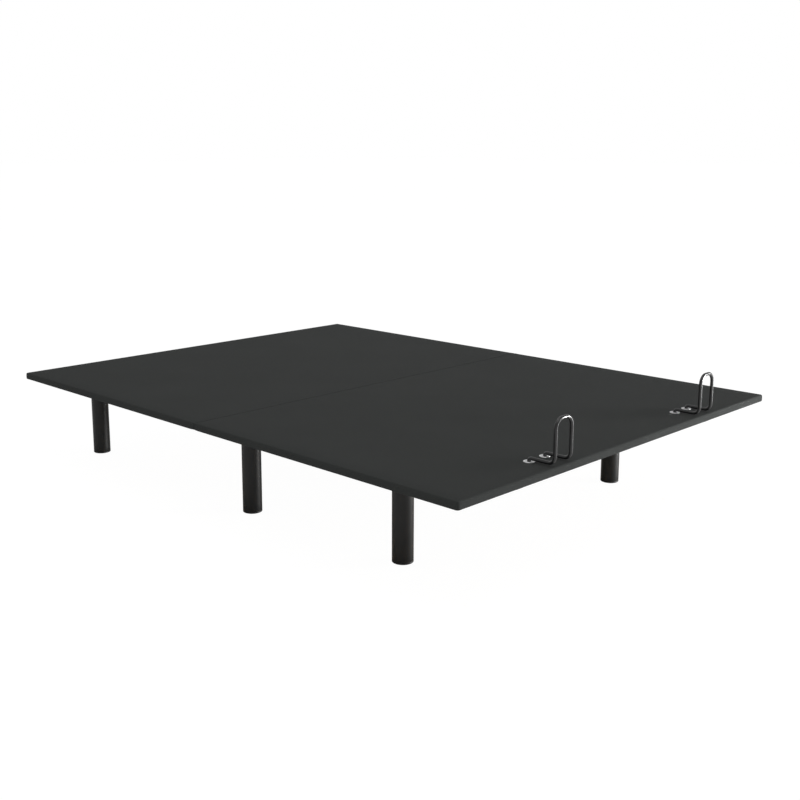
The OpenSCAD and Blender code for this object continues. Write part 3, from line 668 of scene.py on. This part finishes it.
def nodes_in(slot):
    """The CAD nodes that the record puts in a material slot."""
    return [part["node"] for part in frame["record"]["subparts"] if part["material_slot"] == slot]


# rotary-cut birch plywood, sanded: long pale grain across the board with darker growth bands
PLY_GRAIN = 14               # mm between growth bands
plywood, ply_tree, ply_shader = new_material("birch_plywood_sanded", [("Roughness", 0.65)])
ply_place = add_node(ply_tree, "ShaderNodeTexCoord")
ply_stretch = add_node(
    ply_tree, "ShaderNodeMapping", [("Vector", (ply_place, "Object"))], [("Scale", (0.06, 1.0, 1.0))]
)
ply_grain = add_node(
    ply_tree, "ShaderNodeTexNoise", [("Vector", ply_stretch)],
    [("Scale", 1 / (PLY_GRAIN * MM)), ("Detail", 6.0), ("Roughness", 0.65), ("Distortion", 0.8)],
)
ply_tone = tone_ramp(ply_tree, ply_grain, [(0.3, "a98a5f"), (0.5, "c3a374"), (0.72, "d6ba8c")])
ply_tree.links.new(ply_tone.outputs[0], ply_shader.inputs["Base Color"])
ply_bump = add_node(
    ply_tree, "ShaderNodeBump", [("Height", ply_grain)], [("Strength", 0.25), ("Distance", 0.0004)]
)
ply_tree.links.new(ply_bump.outputs[0], ply_shader.inputs["Normal"])
finish_nodes(plywood, "seat_board_head", "seat_board_foot", "back_board", "thigh_board", "calf_board")

# ---------------------------------------------------------------------------------------------
# Frame, section tubes, brackets, levers and links: welded square and rectangular steel tube and
# cut plate, all powder coated black after welding. The two halves bolt together at the middle.

# satin powder coat: dark grey-black, baked to a fine orange peel about 1.5 mm across, with the
# tube edges rounded by the tube mill
POWDER_PEEL = 1.5
TUBE_EDGE = 1.8
powder, powder_tree, powder_shader = new_material("powder_coat_satin_black", [
    ("Roughness", 0.48), ("Specular IOR Level", 0.4),
])
powder_place = add_node(powder_tree, "ShaderNodeTexCoord")
powder_peel = add_node(
    powder_tree, "ShaderNodeTexNoise", [("Vector", (powder_place, "Object"))],
    [("Scale", 1 / (POWDER_PEEL * MM)), ("Detail", 2.0)],
)
powder_drift = add_node(
    powder_tree, "ShaderNodeTexNoise", [("Vector", (powder_place, "Object"))],
    [("Scale", 9.0), ("Detail", 4.0)],
)
powder_tone = tone_ramp(powder_tree, powder_drift, [(0.3, "262728"), (0.7, "2d2e2f")])
powder_tree.links.new(powder_tone.outputs[0], powder_shader.inputs["Base Color"])
powder_edge = add_node(powder_tree, "ShaderNodeBevel", (), [("Radius", TUBE_EDGE * MM)], samples=4)
powder_bump = add_node(
    powder_tree, "ShaderNodeBump", [("Height", powder_peel), ("Normal", powder_edge)],
    [("Strength", 0.3), ("Distance", 0.0002)],
)
powder_tree.links.new(powder_bump.outputs[0], powder_shader.inputs["Normal"])
finish_nodes(powder, *nodes_in("frame_black"))

# ---------------------------------------------------------------------------------------------
# Legs: 60 mm steel tube, closed by a plate at the top, where a stud and nut hold it up against
# the frame. The rims are rounded and the outside is painted satin black. The tube is open only
# as far as its mouth, since nothing beyond that can be seen.

LEG_R = 30
LEG_RIM = 1.5                # rounding of the top and bottom rims
LEG_WALL = 2
LEG_MOUTH = 14               # depth of the tube's open mouth, which takes the cap's plug
LEG_SIDES = 72
LEG_RINGS = (20, 80, 160, 220)   # heights of rings up the tube, so that no face is very long
leg_low, leg_high = (corner[2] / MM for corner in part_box("leg_mid_left"))
rim_turn = arc((0, 0), LEG_RIM, 0, 90, 6)
leg_loop = np.concatenate([
    [(0, leg_low + LEG_MOUTH), (LEG_R - LEG_WALL, leg_low + LEG_MOUTH)],
    [(LEG_R - LEG_WALL, leg_low), (LEG_R - LEG_RIM, leg_low)],
    [(LEG_R - LEG_RIM + y, leg_low + LEG_RIM - x) for x, y in rim_turn[1:]],
    [(LEG_R, leg_low + h) for h in LEG_RINGS],
    [(LEG_R - LEG_RIM + x, leg_high - LEG_RIM + y) for x, y in rim_turn],
    [(0, leg_high)],
])

# satin enamel on steel tube: near black and smooth, so that each leg carries one soft bright
# band down its lit side and fades to black round the other
enamel, enamel_tree, enamel_shader = new_material("satin_enamel_black", [
    ("Roughness", 0.4), ("Specular IOR Level", 0.42),
])
enamel_place = add_node(enamel_tree, "ShaderNodeTexCoord")
enamel_peel = add_node(
    enamel_tree, "ShaderNodeTexNoise", [("Vector", (enamel_place, "Object"))],
    [("Scale", 500.0), ("Detail", 2.0)],
)
enamel_tone = tone_ramp(enamel_tree, enamel_peel, [(0.2, "131415"), (0.8, "181919")])
enamel_tree.links.new(enamel_tone.outputs[0], enamel_shader.inputs["Base Color"])
enamel_bump = add_node(
    enamel_tree, "ShaderNodeBump", [("Height", enamel_peel)],
    [("Strength", 0.15), ("Distance", 0.00015)],
)
enamel_tree.links.new(enamel_bump.outputs[0], enamel_shader.inputs["Normal"])

leg_places = {}
for node in nodes_in("leg_black"):
    low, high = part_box(node)
    leg_places[node] = ((low[0] + high[0]) / 2 / MM, (low[1] + high[1]) / 2 / MM)
    leg = build_mesh("tube_" + node, *turned(leg_loop, [leg_places[node]], LEG_SIDES), crease=30)
    weld(leg)
    leg.data.materials.append(enamel)
    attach(leg, "base")
    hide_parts(node)

# ---------------------------------------------------------------------------------------------
# Moulded parts: end caps under the legs, the two motor housings, and the control box with its
# power inlet, all injection moulded in black ABS with rounded edges. The caps plug into the
# tubes, each housing turns on its rear pin, and the box hangs under the head joint rail.

# spark-textured ABS: soft black with a 1 mm grain that scatters the light, so no sharp gloss
SPARK_GRAIN = 1.0
abs_black, abs_tree, abs_shader = new_material("abs_spark_textured_black", [
    ("Roughness", 0.55), ("IOR", 1.54), ("Specular IOR Level", 0.4),
])
abs_place = add_node(abs_tree, "ShaderNodeTexCoord")
abs_grain = add_node(
    abs_tree, "ShaderNodeTexNoise", [("Vector", (abs_place, "Object"))],
    [("Scale", 1 / (SPARK_GRAIN * MM)), ("Detail", 3.0)],
)
abs_tone = tone_ramp(abs_tree, abs_grain, [(0.3, "171718"), (0.7, "1e1e1f")])
abs_tree.links.new(abs_tone.outputs[0], abs_shader.inputs["Base Color"])
abs_bump = add_node(
    abs_tree, "ShaderNodeBump", [("Height", abs_grain)], [("Strength", 0.3), ("Distance", 0.0002)]
)
abs_tree.links.new(abs_bump.outputs[0], abs_shader.inputs["Normal"])

CAP_FOOT = 1.5               # chamfer where a cap meets the floor
CAP_LIP = 1.0                # rounding under the tube
PLUG_FIT = 0.1               # between the plug and the tube's inside
PLUG_R = LEG_R - LEG_WALL - PLUG_FIT
PLUG_L = 12
cap_loop = [
    (0, 0), (LEG_R - CAP_FOOT - 0.5, 0), (LEG_R - 0.7, 0.6), (LEG_R, CAP_FOOT),
    (LEG_R, leg_low - CAP_LIP), (LEG_R - 0.4, leg_low - 0.3), (LEG_R - CAP_LIP, leg_low),
    (PLUG_R, leg_low), (PLUG_R, leg_low + PLUG_L), (0, leg_low + PLUG_L),
]
cap_shapes = turned(cap_loop, list(leg_places.values()), LEG_SIDES)
caps = build_mesh("leg_end_caps", *cap_shapes, crease=30)
weld(caps)
caps.data.materials.append(abs_black)
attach(caps, "base")
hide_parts("leg_glides")

GROOVE_DEPTH = 1.1
GROOVE_HALF = 1.6            # half the width of a groove at the surface
GROOVE_FLOOR = 0.9           # and at its floor
SQUARENESS = 2 / 8           # power of the section: 1 is an ellipse, 0 a rectangle
SECTION_SIDES = 96


def moulded_shell(low, high, along, grooves=(), edge=5.0):
    """Points and faces of a moulded box from low to high, its length along axis 0 (X) or 1 (Y).

    Across the length the section is (a sgn(cos t) |cos t|^p, b sgn(sin t) |sin t|^p), a rounded
    rectangle for a small p. Along it both halves a and b are smaller by an inset: a quarter turn
    of the edge radius at each end, and a flat-bottomed groove at each given distance.
    """
    low, high = np.asarray(low, float), np.asarray(high, float)
    across = 1 - along
    length = high[along] - low[along]
    turn = np.radians(np.linspace(0, 90, 6))
    place = [edge * (1 - np.sin(turn[::-1])), length - edge * (1 - np.sin(turn))]
    inset = [edge * (1 - np.cos(turn[::-1])), edge * (1 - np.cos(turn))]
    for groove in grooves:
        place.append(groove + np.array([-GROOVE_HALF, -GROOVE_FLOOR, GROOVE_FLOOR, GROOVE_HALF]))
        inset.append(np.array([0, GROOVE_DEPTH, GROOVE_DEPTH, 0]))
    place, inset = np.concatenate(place), np.concatenate(inset)
    order = np.argsort(place)
    place, inset = place[order], inset[order]
    t = np.linspace(0, 2 * np.pi, SECTION_SIDES, endpoint=False)
    wide = np.sign(np.cos(t)) * np.abs(np.cos(t)) ** SQUARENESS
    tall = np.sign(np.sin(t)) * np.abs(np.sin(t)) ** SQUARENESS
    half = (high - low) / 2
    points = np.empty((len(place), len(t), 3))
    points[..., along] = low[along] + place[:, None]
    points[..., across] = (low + half)[across] + (half[across] - inset)[:, None] * wide
    points[..., 2] = (low + half)[2] + (half[2] - inset)[:, None] * tall
    return points.reshape(-1, 3), tube_faces(len(place), SECTION_SIDES)


def pin_lug(x0, x1, pin_y, pin_z, radius, joins_y, reach):
    """Points and faces of a lug between two X planes: a half round about a pin, run on to a case."""
    way = math.copysign(1, joins_y - pin_y)
    a = np.radians(np.linspace(90, 270, 17))
    outline = np.stack([pin_y + way * radius * np.cos(a), pin_z + radius * np.sin(a)], axis=1)
    outline = np.concatenate([outline, [(joins_y, pin_z - reach), (joins_y, pin_z + reach)]])
    count = len(outline)
    points = np.concatenate([np.column_stack([np.full(count, x), outline]) for x in (x0, x1)])
    k = np.arange(count)
    sides = np.stack([k, np.roll(k, -1), np.roll(k, -1) + count, k + count], axis=-1).tolist()
    return points, sides + [k[::-1].tolist(), (k + count).tolist()]


def joined(*shapes):
    """The points and faces of several shapes as one list of each."""
    starts = np.cumsum([0] + [len(points) for points, _ in shapes[:-1]])
    faces = []
    for (_, shape), start in zip(shapes, starts):
        faces += [[int(v) + start for v in face] for face in shape]
    return np.concatenate([points for points, _ in shapes]), faces


# each motor housing is a ribbed box with a lug for the rear pin
CASE_LENGTH = 120
LUG_R = 13
LUG_HALF = 12
LUG_LAP = 4                  # of the lug into the case
LUG_FLARE = 6                # the lug meets the case this much above and below its own radius
RIBS = 6
RIB_START = 14               # from the pin's end of the case to the first groove
RIB_PITCH = 9                # between the grooves of the motor half
HALVES_AT = 80               # where the motor half meets the gear half
for end, way, body in (("head", 1, "head_actuator"), ("foot", -1, "foot_actuator")):
    node = end + "_motor_case"
    low, high = (np.array(corner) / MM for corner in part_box(node))
    pin_y = low[1] + LUG_R if way > 0 else high[1] - LUG_R
    case_low, case_high = low.copy(), high.copy()
    grooves = [RIB_START + i * RIB_PITCH for i in range(RIBS)] + [HALVES_AT]
    if way > 0:
        case_low[1] = high[1] - CASE_LENGTH
        joins_y = case_low[1] + LUG_LAP
    else:
        case_high[1] = low[1] + CASE_LENGTH
        joins_y = case_high[1] - LUG_LAP
        grooves = [CASE_LENGTH - groove for groove in grooves]
    case = moulded_shell(case_low, case_high, 1, grooves)
    middle_x, middle_z = (low[0] + high[0]) / 2, (low[2] + high[2]) / 2
    lug = pin_lug(
        middle_x - LUG_HALF, middle_x + LUG_HALF, pin_y, middle_z, LUG_R, joins_y, LUG_R + LUG_FLARE
    )
    housing = build_mesh("ribbed_" + node, *joined(case, lug), crease=35)
    weld(housing)
    housing.data.materials.append(abs_black)
    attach(housing, body)
    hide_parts(node)

# the control box has an end cap at each end, parted from its body by a groove
END_CAPS = (18, 152)
box_low, box_high = (np.array(corner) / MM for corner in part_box("control_box"))
control = build_mesh(
    "control_box_shell", *moulded_shell(box_low, box_high, 0, END_CAPS, edge=4.0), crease=35
)
weld(control)
control.data.materials.append(abs_black)
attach(control, "base")
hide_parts("control_box")
finish_nodes(abs_black, "power_inlet")

# ---------------------------------------------------------------------------------------------
# Fasteners and lead screws: stock steel bolts, studs, nuts and pins, and rolled lead screws. They
# are held by their own threads or are welded to the brackets that carry them.

# bright zinc plate over turned steel: light grey metal with fine rings from the lathe
zinc, zinc_tree, zinc_shader = new_material("zinc_plate_turned", [
    ("Metallic", 1.0), ("Roughness", 0.38),
])
zinc_at = add_node(zinc_tree, "ShaderNodeTexCoord")
zinc_noise = add_node(
    zinc_tree, "ShaderNodeTexNoise", [("Vector", (zinc_at, "Object"))],
    [("Scale", 400.0), ("Detail", 3.0)],
)
zinc_ramp = tone_ramp(zinc_tree, zinc_noise, [(0.3, "b4b7ba"), (0.7, "cfd1d3")])
zinc_tree.links.new(zinc_ramp.outputs[0], zinc_shader.inputs["Base Color"])
zinc_bump = add_node(
    zinc_tree, "ShaderNodeBump", [("Height", zinc_noise)], [("Strength", 0.15), ("Distance", 0.0002)]
)
zinc_tree.links.new(zinc_bump.outputs[0], zinc_shader.inputs["Normal"])
finish_nodes(zinc, *nodes_in("zinc_plate"))

# ---------------------------------------------------------------------------------------------
# Actuator rods and guide tubes: a ground steel rod slides out of a drawn aluminium tube that is
# set in the front of each motor housing.

# ground and polished steel: bright, with faint rings round the rod
steel, steel_tree, steel_shader = new_material("ground_steel_polished", [
    ("Metallic", 1.0), ("Roughness", 0.2),
])
steel_at = add_node(steel_tree, "ShaderNodeTexCoord")
steel_rings = add_node(
    steel_tree, "ShaderNodeTexWave", [("Vector", (steel_at, "Object"))],
    [("Scale", 150.0), ("Distortion", 1.5), ("Detail", 2.0)], bands_direction="Y",
)
steel_ramp = tone_ramp(steel_tree, steel_rings, [(0.0, "c3c5c8"), (1.0, "d4d6d8")])
steel_tree.links.new(steel_ramp.outputs[0], steel_shader.inputs["Base Color"])
finish_nodes(steel, *nodes_in("rod_steel"))

# clear anodised aluminium: pale grey with long drawing lines along the tube
anodised, anodised_tree, anodised_shader = new_material("anodised_aluminium_drawn", [
    ("Metallic", 1.0), ("Roughness", 0.42),
])
anodised_at = add_node(anodised_tree, "ShaderNodeTexCoord")
anodised_stretch = add_node(
    anodised_tree, "ShaderNodeMapping", [("Vector", (anodised_at, "Object"))],
    [("Scale", (1.0, 0.03, 1.0))],
)
anodised_lines = add_node(
    anodised_tree, "ShaderNodeTexNoise", [("Vector", anodised_stretch)],
    [("Scale", 600.0), ("Detail", 2.0)],
)
anodised_ramp = tone_ramp(anodised_tree, anodised_lines, [(0.3, "b0b3b6"), (0.7, "c6c8ca")])
anodised_tree.links.new(anodised_ramp.outputs[0], anodised_shader.inputs["Base Color"])
finish_nodes(anodised, *nodes_in("guide_aluminium"))
